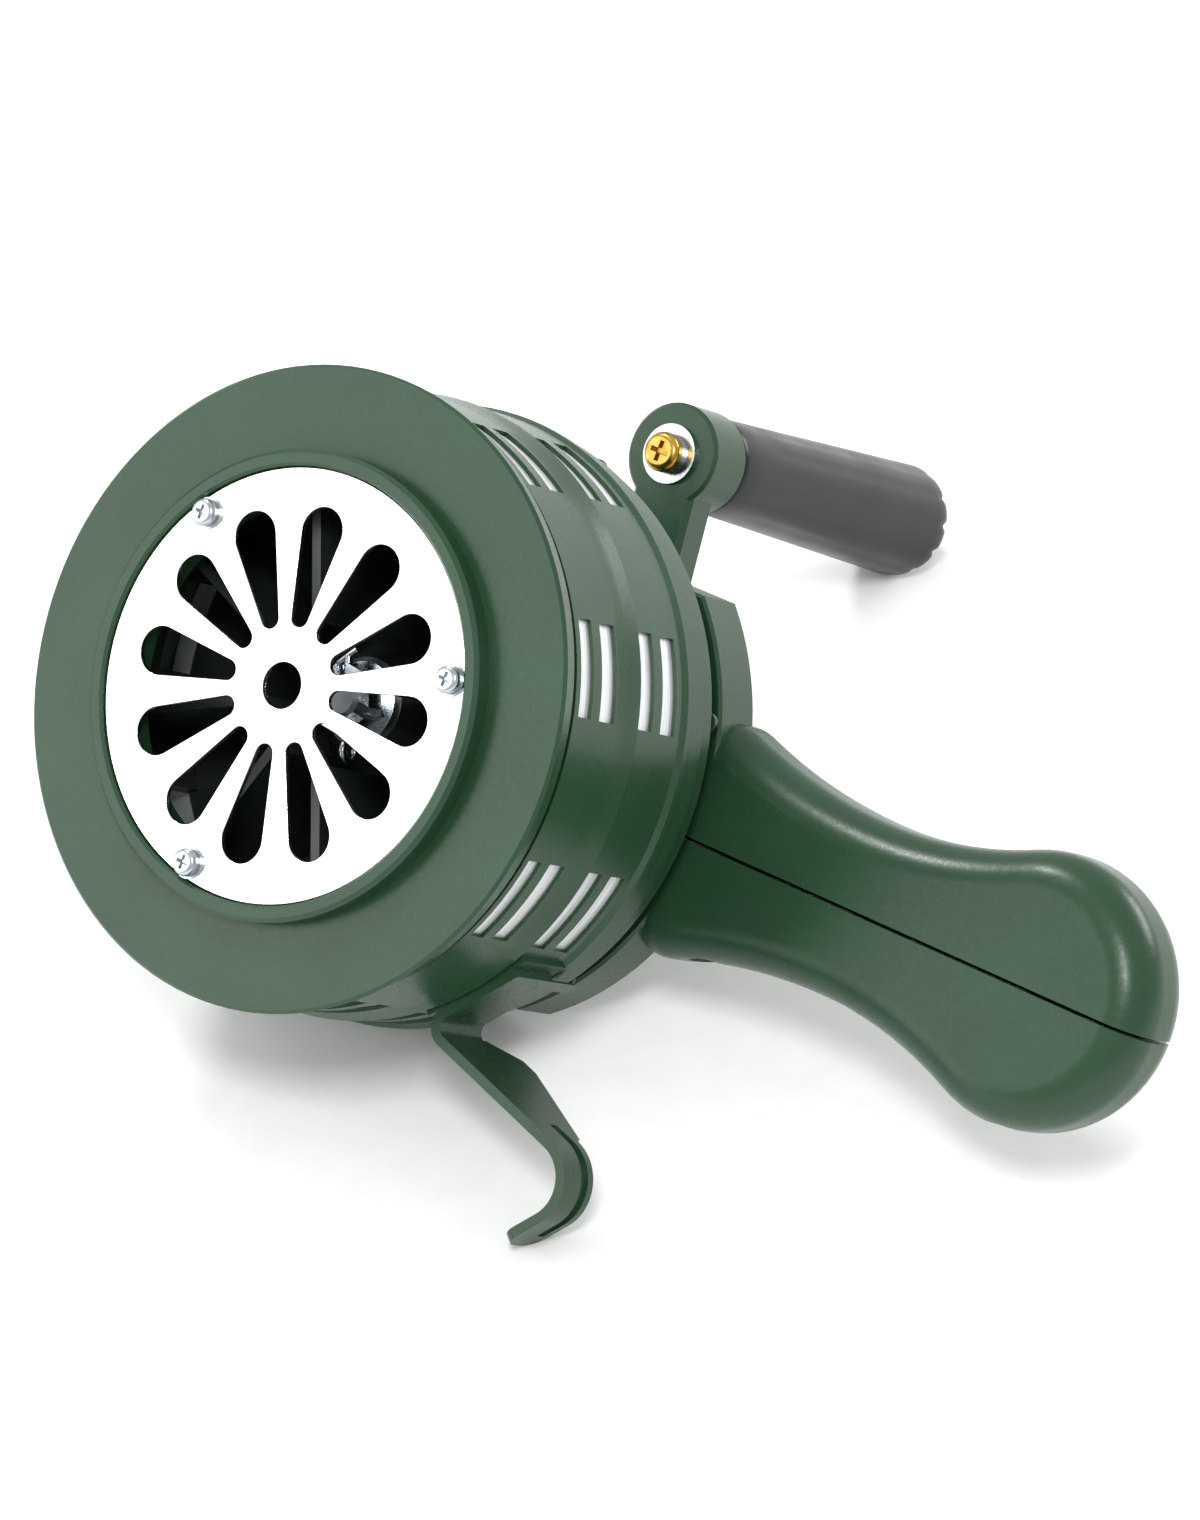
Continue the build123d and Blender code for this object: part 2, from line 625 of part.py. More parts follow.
with BuildPart() as case_half_left:
    add(case_half(-1))
with BuildPart() as case_half_right:
    add(case_half(1))

handle_screw = pan_screw(1.9, 20.0, 4.0, 2.6)
handle_screw_planes = [
    Plane(origin=(split_x - half_width + handle_screw_sink, y, cross_z), x_dir=(0, 1, 0), z_dir=(-1, 0, 0))
    for y, half_width in screw_sites
]
with BuildPart() as handle_screws:
    with Locations(*handle_screw_planes):
        add(handle_screw)

# ---------------------------------------------------------------- gear cover
cover_plane = Plane(origin=(split_x, 0, case_end))
with BuildPart() as gear_cover:
    with BuildSketch(cover_plane.offset(-2.0)):
        Circle(cover_spigot)
    extrude(amount=2.0)
    with BuildSketch(cover_plane):
        Circle(cover_radius)
    extrude(amount=cover_end - case_end)
    chamfer(gear_cover.edges().filter_by(GeomType.CIRCLE).group_by(Axis.Z)[-1], length=1.0)
    with BuildSketch(cut_plane(crank_center, cover_end)):
        Circle(crank_boss_outer)
    extrude(amount=crank_boss_end - cover_end, taper=2)
    with Locations(cut_plane(crank_center, case_end - 2.0)):
        Cylinder(radius=bush_outer, height=60.0, mode=Mode.SUBTRACT)
    with Locations(cut_plane(idler_center, case_end - 2.0)):
        Cylinder(radius=idler_pin_radius + 0.01, height=7.2, mode=Mode.SUBTRACT)
    with Locations(cover_plane):
        with PolarLocations(cover_screw_radius, 6, start_angle=30):
            Cylinder(radius=1.6, height=12.0, mode=Mode.SUBTRACT)

cover_screw = pan_screw(1.4, 7.6, 2.6, 1.9)
cover_screw_planes = [
    Plane(origin=polar(cover_screw_radius, 30 + 60 * k, cover_end) + Vector(split_x, 0, 0)) for k in range(6)
]
with BuildPart() as cover_screws:
    with Locations(*cover_screw_planes):
        add(cover_screw)

# Two flanged bushes, pressed into the cover from both ends, carry the crank.
with BuildPart() as crank_bushes:
    with BuildSketch(Plane.XZ):
        with BuildLine():
            Polyline(
                (crank_shaft_radius + running, 73.0), (bush_outer, 73.0), (bush_outer, 80.0),
                (crank_shaft_radius + running, 80.0), (crank_shaft_radius + running, 73.0),
            )
        make_face()
        with BuildLine():
            Polyline(
                (crank_shaft_radius + running, 85.0), (bush_outer, 85.0), (bush_outer, crank_boss_end),
                (9.5, crank_boss_end), (9.5, crank_boss_end + 1.2),
                (crank_shaft_radius + running, crank_boss_end + 1.2), (crank_shaft_radius + running, 85.0),
            )
        make_face()
    revolve(axis=Axis.Z)
crank_bushes.part = crank_bushes.part.moved(Location(crank_center))

# ---------------------------------------------------------------- crank
to_grip = (grip_center - crank_center).normalized()
arm_length = (grip_center - crank_center).length
arm_plane = Plane(origin=crank_center + Vector(0, 0, arm_front), x_dir=to_grip, z_dir=(0, 0, 1))
with BuildPart() as crank_shaft:
    with BuildSketch(cut_plane(crank_center, crank_gear_start)):
        Circle(crank_shaft_radius)
    extrude(amount=arm_rear + 1.0 - crank_gear_start)
    with BuildSketch(cut_plane(crank_center, arm_rear + 1.0)):
        Circle(4.0)
    extrude(amount=8.6)
    chamfer(crank_shaft.faces().sort_by(Axis.Z)[-1].edges(), length=0.6)
    with Locations(Plane(origin=crank_center + Vector(0, 0, pin_z), x_dir=(0, 0, 1), z_dir=to_grip)):
        Cylinder(radius=1.5, height=14.0, mode=Mode.SUBTRACT)

with BuildPart() as crank_arm:
    with BuildSketch(arm_plane):
        with Locations((arm_length / 2, 0)):
            Rectangle(arm_length, 2 * arm_half_width)
    extrude(amount=arm_thickness)
    chamfer(crank_arm.edges().filter_by(Axis((0, 0, 0), to_grip)), length=1.2)
    with BuildSketch(arm_plane):
        with Locations((arm_length, 0)):
            Circle(crank_boss_radius)
    extrude(amount=boss_thickness)
    with BuildSketch(arm_plane.offset(arm_hub_start - arm_front)):
        Circle(12.0)
    extrude(amount=arm_rear - arm_hub_start)
    chamfer(crank_arm.edges().filter_by(GeomType.CIRCLE), length=0.7)
    with Locations(arm_plane):
        Cylinder(radius=crank_shaft_radius, height=60.0, mode=Mode.SUBTRACT)
    with Locations(arm_plane.offset(0)):
        with Locations((arm_length, 0)):
            Cylinder(radius=2.1, height=60.0, mode=Mode.SUBTRACT)
    with Locations(Plane(origin=crank_center + Vector(0, 0, pin_z), x_dir=(0, 0, 1), z_dir=to_grip)):
        Cylinder(radius=1.5, height=30.0, mode=Mode.SUBTRACT)

with BuildPart() as crank_roll_pin:
    with BuildSketch(Plane(origin=crank_center + Vector(0, 0, pin_z), x_dir=(0, 0, 1), z_dir=to_grip)):
        Circle(1.5)
        Circle(0.8, mode=Mode.SUBTRACT)
        with Locations((0.75, 0)):
            Rectangle(1.6, 0.4, mode=Mode.SUBTRACT)
    extrude(amount=11.4, both=True)

with BuildPart() as crank_washer:
    with BuildSketch(cut_plane(crank_center, arm_rear)):
        Circle(8.5)
        Circle(crank_shaft_radius, mode=Mode.SUBTRACT)
    extrude(amount=1.0)

with BuildPart() as crank_nut:
    with BuildSketch(cut_plane(crank_center, arm_rear + 1.0)):
        RegularPolygon(radius=6.5, side_count=6, major_radius=False)
    extrude(amount=6.5)
    nut_cone = Plane(origin=crank_center + Vector(0, 0, arm_rear + 1.0))
    with Locations(nut_cone):
        Cone(9.4, 6.4, 6.5, align=(Align.CENTER, Align.CENTER, Align.MIN), mode=Mode.INTERSECT)
    with Locations(nut_cone):
        Cylinder(radius=4.0, height=20.0, mode=Mode.SUBTRACT)

# ---------------------------------------------------------------- grip
grip_plane = Plane(origin=grip_center)
spindle_start = arm_front + boss_thickness
with BuildPart() as grip_spindle:
    with BuildSketch(grip_plane.offset(spindle_start)):
        Circle(spindle_radius)
        Circle(2.0, mode=Mode.SUBTRACT)
    extrude(amount=grip_head_start - spindle_start)
    with BuildSketch(grip_plane.offset(grip_head_start)):
        Circle(7.0)
        RegularPolygon(radius=2.5, side_count=6, major_radius=False, mode=Mode.SUBTRACT)
    extrude(amount=2.0)

with BuildPart() as grip_flat_washer:
    with BuildSketch(grip_plane.offset(arm_front - 1.0)):
        Circle(6.2)
        Circle(2.1, mode=Mode.SUBTRACT)
    extrude(amount=1.0)

with BuildPart() as grip_spring_washer:
    with BuildSketch(grip_plane.offset(arm_front - 2.1)):
        Circle(4.0)
        Circle(2.1, mode=Mode.SUBTRACT)
        with Locations((3.0, 0)):
            Rectangle(2.6, 0.7, rotation=15, mode=Mode.SUBTRACT)
    extrude(amount=1.1)

m4_screw = pan_screw(2.0, 30.0, 4.1, 2.6)
with BuildPart() as grip_screw:
    with Locations(Plane(origin=grip_center + Vector(0, 0, arm_front - 2.1), z_dir=(0, 0, -1))):
        add(m4_screw)

with BuildPart() as crank_grip:
    with BuildSketch(Plane.XZ):
        with BuildLine():
            Line((spindle_radius + running, grip_start), (grip_radius_start - 1.0, grip_start))
            Line((grip_radius_start - 1.0, grip_start), (grip_radius_start, grip_start + 1.0))
            Line((grip_radius_start, grip_start + 1.0), (grip_radius_end, grip_end - 4.0))
            RadiusArc((grip_radius_end, grip_end - 4.0), (grip_radius_end - 4.0, grip_end), -4.0)
            Line((grip_radius_end - 4.0, grip_end), (cap_radius, grip_end))
            Line((cap_radius, grip_end), (cap_radius, grip_head_start - 0.3))
            Line((cap_radius, grip_head_start - 0.3), (spindle_radius + running, grip_head_start - 0.3))
            Line((spindle_radius + running, grip_head_start - 0.3), (spindle_radius + running, grip_start))
        make_face()
    revolve(axis=Axis.Z)
    # Shallow flutes run along the grip between two plain bands.
    flute_angle = degrees(atan2(grip_radius_end - grip_radius_start, grip_end - grip_start))
    for k in range(flute_count):
        turn = 360 / flute_count * (k + 0.5)
        flute = Plane(
            origin=polar(grip_radius_start + flute_radius - flute_depth, turn, grip_start + 12.0),
            x_dir=polar(1.0, turn + 90),
            z_dir=polar(sin(radians(flute_angle)), turn, cos(radians(flute_angle))),
        )
        with BuildSketch(flute):
            Circle(flute_radius)
        extrude(amount=grip_end - grip_start - 22.0, mode=Mode.SUBTRACT)
crank_grip.part = crank_grip.part.moved(Location(grip_center))

with BuildPart() as grip_cap:
    with BuildSketch(grip_plane.offset(grip_end - 3.5)):
        Circle(cap_radius)
    extrude(amount=3.5)
    chamfer(grip_cap.edges().filter_by(GeomType.CIRCLE).sort_by(Axis.Z)[-1], length=0.5)

# ---------------------------------------------------------------- belt hook
# Flat strip: a tab on the drum, one bend, a straight leg down the side and a curled end.
outward = polar(1.0, hook_angle)
along = polar(1.0, hook_angle + 90)
strip_center = hook_seat_radius + hook_thickness / 2
tab_end = outward * strip_center - along * 9.5
bend_start = outward * strip_center + along * 8.5
with BuildPart() as belt_hook:
    with BuildSketch(Plane.XY.offset(hook_front)):
        with BuildLine():
            Line(tab_end, bend_start)
            bend = JernArc(bend_start, along, hook_bend_radius, -hook_bend_turn)
            leg = Line(bend @ 1, bend @ 1 + (bend % 1) * hook_leg)
            curl = JernArc(leg @ 1, leg % 1, hook_curl_radius, hook_curl_turn)
            tip = Line(curl @ 1, curl @ 1 + (curl % 1) * hook_tip)
        trace(line_width=hook_thickness)
    extrude(amount=hook_flare_rear - hook_front)
    leg_start, leg_way, tip_point = leg @ 0, leg % 1, tip @ 1

    # The strip is widest just past the bend and tapers along the leg to the curl.
    with BuildSketch(Plane(origin=(0, 0, hook_tab_rear))):
        Circle(hook_seat_radius + hook_thickness + 0.3)
    extrude(amount=20.0, mode=Mode.SUBTRACT)
    with BuildSketch(Plane(origin=leg_start + Vector(0, 0, hook_tab_rear), x_dir=leg_way)):
        with Locations((-6.5, 0)):
            Rectangle(12.0, 16.0)
    extrude(amount=20.0, mode=Mode.SUBTRACT)
    with BuildSketch(Plane(origin=leg_start, x_dir=leg_way, z_dir=leg_way.cross(Vector(0, 0, 1)))):
        with BuildLine():
            Polyline(
                (-8.0, hook_tab_rear), (-1.5, hook_tab_rear), (5.0, hook_flare_rear), (9.0, hook_flare_rear),
                (31.0, hook_curl_rear + 1.5), (hook_leg, hook_curl_rear), (hook_leg, 60.0), (-8.0, 60.0),
                (-8.0, hook_tab_rear),
            )
        make_face()
    extrude(amount=1.6, both=True, mode=Mode.SUBTRACT)
    with BuildSketch(Plane(origin=leg_start + Vector(0, 0, hook_curl_rear), x_dir=leg_way)):
        with Locations((hook_leg + 20.0, 0)):
            Rectangle(40.0, 80.0)
    extrude(amount=20.0, mode=Mode.SUBTRACT)
    tip_face = belt_hook.faces().sort_by_distance(tip_point + Vector(0, 0, (hook_front + hook_curl_rear) / 2))[0]
    fillet(tip_face.edges().sort_by(SortBy.LENGTH)[:2], radius=4.0)
    tab_face = belt_hook.faces().sort_by_distance(tab_end + Vector(0, 0, (hook_front + hook_tab_rear) / 2))[0]
    fillet(tab_face.edges().sort_by(SortBy.LENGTH)[:2], radius=2.5)

    # A groove is stamped round the outside of the curl.
    with BuildSketch(Plane.XZ):
        with Locations((hook_curl_radius + hook_thickness / 2 + 0.2, hook_front + 7.1)):
            Rectangle(2.0, 2.4)
    curl_stamp = revolve(axis=Axis.Z, mode=Mode.PRIVATE)
    with Locations(curl.arc_center):
        add(curl_stamp, mode=Mode.SUBTRACT)
    for rivet in rivet_planes:
        with Locations(rivet.offset(hook_thickness)):
            CounterSinkHole(radius=1.6, counter_sink_radius=3.1, depth=hook_thickness + 1.0)

with BuildPart() as hook_rivets:
    with Locations(*[rivet.offset(hook_thickness) for rivet in rivet_planes]):
        Cone(1.6, 3.0, 1.4, align=(Align.CENTER, Align.CENTER, Align.MAX))
        Cylinder(radius=1.6, height=rivet_length, align=(Align.CENTER, Align.CENTER, Align.MAX))

# ---------------------------------------------------------------- lying on a table
# The siren rests on the hook's curl, the rear edge of the case and the end of the grip, with its
# mouth tilted up. Row +Y is the level direction in which the drum axis runs back.
rest_up = Vector(rest_up_x, rest_up_y, -sqrt(1 - rest_up_x**2 - rest_up_y**2))
axis_back = Vector(0, 0, 1)
level_back = (axis_back - rest_up * axis_back.dot(rest_up)).normalized()
table = Plane(origin=(0, 0, 0), x_dir=level_back.cross(rest_up), z_dir=rest_up)

pieces = {
    "drum_housing": drum_housing,
    "mouth_grille": mouth_grille,
    "grille_washers": grille_washers,
    "grille_screws": grille_screws,
    "bearing_plate": bearing_plate,
    "plate_screws": plate_screws,
    "bearing_outer_rings": bearing_outer_rings,
    "bearing_inner_rings": bearing_inner_rings,
    "bearing_balls": bearing_balls,
    "bearing_spacer": bearing_spacer,
    "bearing_clip": bearing_clip,
    "rotor": rotor,
    "rotor_shaft": rotor_shaft,
    "castle_nut": castle_nut,
    "rotor_washer": rotor_washer,
    "cotter_pin": cotter_pin,
    "rotor_pinion": rotor_pinion,
    "idler_gear": idler_gear,
    "idler_pinion": idler_pinion,
    "idler_bush": idler_bush,
    "idler_pin": idler_pin,
    "crank_gear": crank_gear,
    "case_half_left": case_half_left,
    "case_half_right": case_half_right,
    "case_screws": case_screws,
    "handle_screws": handle_screws,
    "gear_cover": gear_cover,
    "cover_screws": cover_screws,
    "crank_bushes": crank_bushes,
    "crank_shaft": crank_shaft,
    "crank_arm": crank_arm,
    "crank_roll_pin": crank_roll_pin,
    "crank_washer": crank_washer,
    "crank_nut": crank_nut,
    "grip_spindle": grip_spindle,
    "grip_flat_washer": grip_flat_washer,
    "grip_spring_washer": grip_spring_washer,
    "grip_screw": grip_screw,
    "crank_grip": crank_grip,
    "grip_cap": grip_cap,
    "belt_hook": belt_hook,
    "hook_rivets": hook_rivets,
}
turned = Compound(children=[piece.part.moved(table.location.inverse()) for piece in pieces.values()])
bounds = turned.bounding_box()
to_table = Location((-bounds.center().X, -bounds.center().Y, -bounds.min.Z)) * table.location.inverse()

for name, piece in pieces.items():
    piece.part = piece.part.moved(to_table)
    piece.part.label = name
    export_step(piece.part, f"parts/{name}.step")
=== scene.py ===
import json
from math import atan2, cos, pi, radians, sin

import bmesh
import bpy
from bpy.props import FloatProperty, FloatVectorProperty, IntProperty, PointerProperty
from mathutils import Matrix, Vector

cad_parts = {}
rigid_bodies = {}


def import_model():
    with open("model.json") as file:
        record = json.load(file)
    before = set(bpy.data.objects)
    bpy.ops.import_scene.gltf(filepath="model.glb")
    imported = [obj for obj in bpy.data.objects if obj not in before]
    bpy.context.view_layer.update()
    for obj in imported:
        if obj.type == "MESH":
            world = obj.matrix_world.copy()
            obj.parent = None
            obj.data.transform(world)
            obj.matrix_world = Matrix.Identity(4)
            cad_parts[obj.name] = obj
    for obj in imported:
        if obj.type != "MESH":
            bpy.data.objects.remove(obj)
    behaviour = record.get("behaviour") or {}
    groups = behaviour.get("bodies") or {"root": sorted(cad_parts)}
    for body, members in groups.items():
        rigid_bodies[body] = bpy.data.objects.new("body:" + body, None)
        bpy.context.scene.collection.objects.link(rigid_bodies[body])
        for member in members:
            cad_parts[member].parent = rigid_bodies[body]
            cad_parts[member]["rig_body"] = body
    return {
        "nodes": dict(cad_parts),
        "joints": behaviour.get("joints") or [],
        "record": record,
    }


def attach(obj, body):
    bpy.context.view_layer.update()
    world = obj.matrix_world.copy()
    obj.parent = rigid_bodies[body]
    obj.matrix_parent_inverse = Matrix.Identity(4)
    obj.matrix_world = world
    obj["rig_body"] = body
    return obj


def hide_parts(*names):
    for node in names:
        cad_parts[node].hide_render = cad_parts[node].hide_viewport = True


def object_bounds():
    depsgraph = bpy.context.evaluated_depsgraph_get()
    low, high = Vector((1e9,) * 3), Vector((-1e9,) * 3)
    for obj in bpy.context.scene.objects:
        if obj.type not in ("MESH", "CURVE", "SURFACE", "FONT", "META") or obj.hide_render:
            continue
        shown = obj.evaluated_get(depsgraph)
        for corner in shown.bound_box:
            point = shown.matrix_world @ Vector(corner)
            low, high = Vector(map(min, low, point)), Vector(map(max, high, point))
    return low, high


bl_info = {
    "name": "Hand-Cranked Siren",
    "version": (1, 0, 0),
    "blender": (4, 5, 0),
    "location": "View3D > Sidebar > Siren",
    "description": "Finishes a hand-cranked siren: enamel castings, mouth plate, grip, fasteners and works",
    "category": "Object",
}

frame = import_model()
NODES = frame["nodes"]
RECORD = frame["record"]
CAD_LOW, CAD_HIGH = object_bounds()
MM = 0.001

JOINTS = {joint["name"]: joint for joint in frame["joints"]}
DRUM_POINT = Vector(JOINTS["rotor_spin"]["pos_m"])
DRUM_AXIS = Vector(JOINTS["rotor_spin"]["axis"]).normalized()
GRIP_POINT = Vector(JOINTS["grip_spin"]["pos_m"])

SLOT_OF = {part["node"]: part["material_slot"] for part in RECORD["subparts"]}
CASTINGS = ("drum_housing", "bearing_plate", "case_half_left", "case_half_right", "gear_cover", "crank_arm")
# Nodes that an operator of their own replaces or finishes.
FINISHED_APART = (*CASTINGS, "mouth_grille", "belt_hook", "hook_rivets", "crank_grip", "grip_cap")

# Copies of CAD nodes: vertices nearer than this are one, and faces flatter than this are one.
WELD_DISTANCE = 0.002 * MM
FLAT_ANGLE = radians(0.3)
SHARP_ANGLE = radians(20)

# The rim of the rotor is turned bright outside this radius.
RIM_RADIUS_MM, RIM_EDGE_MM = 55.6, 0.3

# Outline of the grip in millimetres, as distance along the spindle and radius.
GRIP_FRONT = ((-37.4, 4.1), (-37.4, 8.9), (-37.2, 9.25), (-36.9, 9.55), (-36.4, 9.85))
GRIP_TAPER = ((-36.4, 10.0), (41.0, 12.2))
GRIP_STATIONS = (-35.5, -30, -27, -24, -20, -10, 0, 10, 20, 28, 34, 37, 39, 41)
GRIP_DOME = ((42.1, 12.04), (43.0, 11.7), (43.8, 11.05), (44.4, 10.36), (44.8, 9.4), (45.0, 8.6))
GRIP_BORE = ((45.0, 7.65), (37.7, 7.65), (37.7, 4.1))
GRIP_FLUTED = (-27.0, 44.5)
FLUTE_STEPS = 12
FLUTE_FLOOR = 9.5
FLUTE_RUN_OUT = 6.0
FLUTE_SHARPNESS, NOTCH_SHARPNESS = 2, 12
NOTCH_START, NOTCH_RUN, NOTCH_DEPTH = 41.0, 1.5, 0.9

FLOOR_SIZE, FLOOR_CELLS = 4.0, 8
ROOM_GLOW = 0.85
SENSOR_WIDTH = 36
# Softboxes: name, place in metres, width and height, watts.
SOFTBOXES = (
    ("key_left", (-0.85, 0.05, 1.2), (0.3, 0.3), 10),
    ("key_right", (0.45, -0.6, 1.15), (0.3, 0.3), 8),
    ("left_front", (-1.35, -1.35, 0.6), (1.3, 1.3), 13),
    ("back_rim", (0.45, 1.5, 0.6), (0.9, 0.4), 12),
)

MADE = {}


def linear(code):
    """Linear colour of an sRGB hex value."""
    channels = [int(code[i:i + 2], 16) / 255 for i in (0, 2, 4)]
    return [c / 12.92 if c <= 0.04045 else ((c + 0.055) / 1.055) ** 2.4 for c in channels]


# ---------------------------------------------------------------- settings
class SirenFinishSettings(bpy.types.PropertyGroup):
    """Colours of the siren's finishes."""

    enamel: FloatVectorProperty(
        name="Enamel", description="Green enamel on the castings", subtype="COLOR", size=3,
        min=0, max=1, default=linear("1F3D27"),
    )
    grip: FloatVectorProperty(
        name="Grip", description="Black plastic of the crank grip", subtype="COLOR", size=3,
        min=0, max=1, default=linear("0A0B0C"),
    )
    plate: FloatVectorProperty(
        name="Mouth plate", description="Bright zinc on the mouth plate", subtype="COLOR", size=3,
        min=0, max=1, default=linear("F4F4F2"),
    )
    yellow_zinc: FloatVectorProperty(
        name="Yellow zinc", description="Passivated zinc on the grip's screw", subtype="COLOR", size=3,
        min=0, max=1, default=linear("9C7A34"),
    )


class SirenShapeSettings(bpy.types.PropertyGroup):
    """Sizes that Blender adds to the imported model."""

    casting_edge: FloatProperty(
        name="Casting edge", description="Rounding that the enamel leaves on an edge of a casting",
        default=0.45 * MM, min=0, unit="LENGTH",
    )
    strip_edge: FloatProperty(
        name="Strip edge", description="Rounding on the edges of the belt hook", default=0.35 * MM,
        min=0, unit="LENGTH",
    )
    plate_edge: FloatProperty(
        name="Plate edge", description="Rolled-over edge of the punched mouth plate", default=0.18 * MM,
        min=0, unit="LENGTH",
    )
    flutes: IntProperty(name="Flutes", description="Shallow flutes round the grip", default=12, min=3)
    flute_depth: FloatProperty(
        name="Flute depth", description="Depth of a flute in the grip", default=0.13 * MM, unit="LENGTH",
    )


class SirenStudioSettings(bpy.types.PropertyGroup):
    """Camera and light round the siren."""

    heading: FloatProperty(
        name="Heading", description="Turn of the view from +Y, clockwise from above",
        default=radians(-43.85), subtype="ANGLE",
    )
    elevation: FloatProperty(
        name="Elevation", description="Height of the camera over the siren", default=radians(39.13),
        subtype="ANGLE",
    )
    roll: FloatProperty(
        name="Roll", description="Turn of the camera about its own axis", default=radians(3.88),
        subtype="ANGLE",
    )
    distance: FloatProperty(
        name="Distance", description="From the camera to the siren", default=1.2284, unit="LENGTH",
    )
    focal_length: FloatProperty(
        name="Focal length", description="Lens of the camera, in millimetres", default=148.88, unit="CAMERA",
    )
    aim: FloatVectorProperty(
        name="Aim", description="Point looked at, from the middle of the siren", size=3,
        default=(-0.0163, -0.0302, -0.0130), subtype="TRANSLATION",
    )


def finish():
    """The scene's finish settings."""
    return bpy.context.scene.siren_finish


def shape():
    """The scene's shape settings."""
    return bpy.context.scene.siren_shape


# ---------------------------------------------------------------- material helpers
def new_material(name):
    """Material with an empty node tree, and that tree."""
    material = bpy.data.materials.new(name)
    material.use_nodes = True
    material.node_tree.nodes.clear()
    return material, material.node_tree


def add_node(tree, kind, inputs=None, links=None, **settings):
    """Add a node, set its properties and input values, and link sockets into it."""
    node = tree.nodes.new(kind)
    for name, value in settings.items():
        setattr(node, name, value)
    for name, value in (inputs or {}).items():
        node.inputs[name].default_value = value
    for name, socket in (links or {}).items():
        tree.links.new(socket, node.inputs[name])
    return node


def ramp(tree, factor, stops):
    """Colour ramp over a factor: stops are (position, linear rgb)."""
    node = add_node(tree, "ShaderNodeValToRGB", links={"Fac": factor})
    band = node.color_ramp
    band.elements[0].position, band.elements[-1].position = stops[0][0], stops[-1][0]
    for position, _ in stops[1:-1]:
        band.elements.new(position)
    for element, (_, colour) in zip(band.elements, stops):
        element.color = (*colour, 1)
    return node.outputs["Color"]


def per_metre(size_mm):
    """Noise scale whose grains are about a real size across."""
    return 1 / (size_mm * MM)


def shade(colour, factor):
    """The same colour, darker or lighter by a factor."""
    return [min(1.0, channel * factor) for channel in colour]


# ---------------------------------------------------------------- materials
def satin_enamel():
    """Stoved green enamel on cast aluminium: satin, with orange peel and a faint cast grain beneath."""
    material, tree = new_material("satin_green_enamel")
    place = add_node(tree, "ShaderNodeTexCoord").outputs["Object"]
    peel = add_node(tree, "ShaderNodeTexNoise", {"Scale": per_metre(1.6), "Detail": 2.0}, {"Vector": place})
    grain = add_node(tree, "ShaderNodeTexNoise", {"Scale": per_metre(0.55), "Detail": 3.0}, {"Vector": place})
    cloud = add_node(tree, "ShaderNodeTexNoise", {"Scale": per_metre(24), "Detail": 2.0}, {"Vector": place})
    green = finish().enamel
    colour = ramp(tree, cloud.outputs["Fac"], [(0.3, shade(green, 0.9)), (0.7, shade(green, 1.1))])
    roughness = add_node(
        tree, "ShaderNodeMapRange", {"From Min": 0.3, "From Max": 0.7, "To Min": 0.26, "To Max": 0.36},
        {"Value": grain.outputs["Fac"]},
    )
    first = add_node(
        tree, "ShaderNodeBump", {"Strength": 0.22, "Distance": 0.05 * MM}, {"Height": grain.outputs["Fac"]},
    )
    second = add_node(
        tree, "ShaderNodeBump", {"Strength": 0.3, "Distance": 0.09 * MM},
        {"Height": peel.outputs["Fac"], "Normal": first.outputs["Normal"]},
    )
    paint = add_node(
        tree, "ShaderNodeBsdfPrincipled", {"IOR": 1.5, "Specular IOR Level": 0.36},
        {"Base Color": colour, "Roughness": roughness.outputs["Result"], "Normal": second.outputs["Normal"]},
    )
    add_node(tree, "ShaderNodeOutputMaterial", links={"Surface": paint.outputs["BSDF"]})
    return material


def metal(name, tint, rough_low, rough_high, grain_mm, stretch=(1, 1, 1), bump_mm=0.01, tint_two=None):
    """Bare or plated metal whose gloss and colour vary over a grain, which may be drawn out one way."""
    material, tree = new_material(name)
    place = add_node(tree, "ShaderNodeTexCoord").outputs["Object"]
    turned = add_node(
        tree, "ShaderNodeMapping",
        {"Rotation": DRUM_AXIS.to_track_quat("Z", "Y").inverted().to_euler(), "Scale": stretch},
        {"Vector": place},
    )
    grain = add_node(
        tree, "ShaderNodeTexNoise", {"Scale": per_metre(grain_mm), "Detail": 3.0},
        {"Vector": turned.outputs["Vector"]},
    )
    cloud = add_node(tree, "ShaderNodeTexNoise", {"Scale": per_metre(3.0), "Detail": 1.0}, {"Vector": place})
    light = tint_two or shade(tint, 1.04)
    colour = ramp(tree, cloud.outputs["Fac"], [(0.35, shade(tint, 0.93)), (0.65, light)])
    roughness = add_node(
        tree, "ShaderNodeMapRange",
        {"From Min": 0.3, "From Max": 0.7, "To Min": rough_low, "To Max": rough_high},
        {"Value": grain.outputs["Fac"]},
    )
    bump = add_node(
        tree, "ShaderNodeBump", {"Strength": 0.35, "Distance": bump_mm * MM},
        {"Height": grain.outputs["Fac"]},
    )
    surface = add_node(
        tree, "ShaderNodeBsdfPrincipled", {"Metallic": 1.0},
        {"Base Color": colour, "Roughness": roughness.outputs["Result"], "Normal": bump.outputs["Normal"]},
    )
    add_node(tree, "ShaderNodeOutputMaterial", links={"Surface": surface.outputs["BSDF"]})
    return material


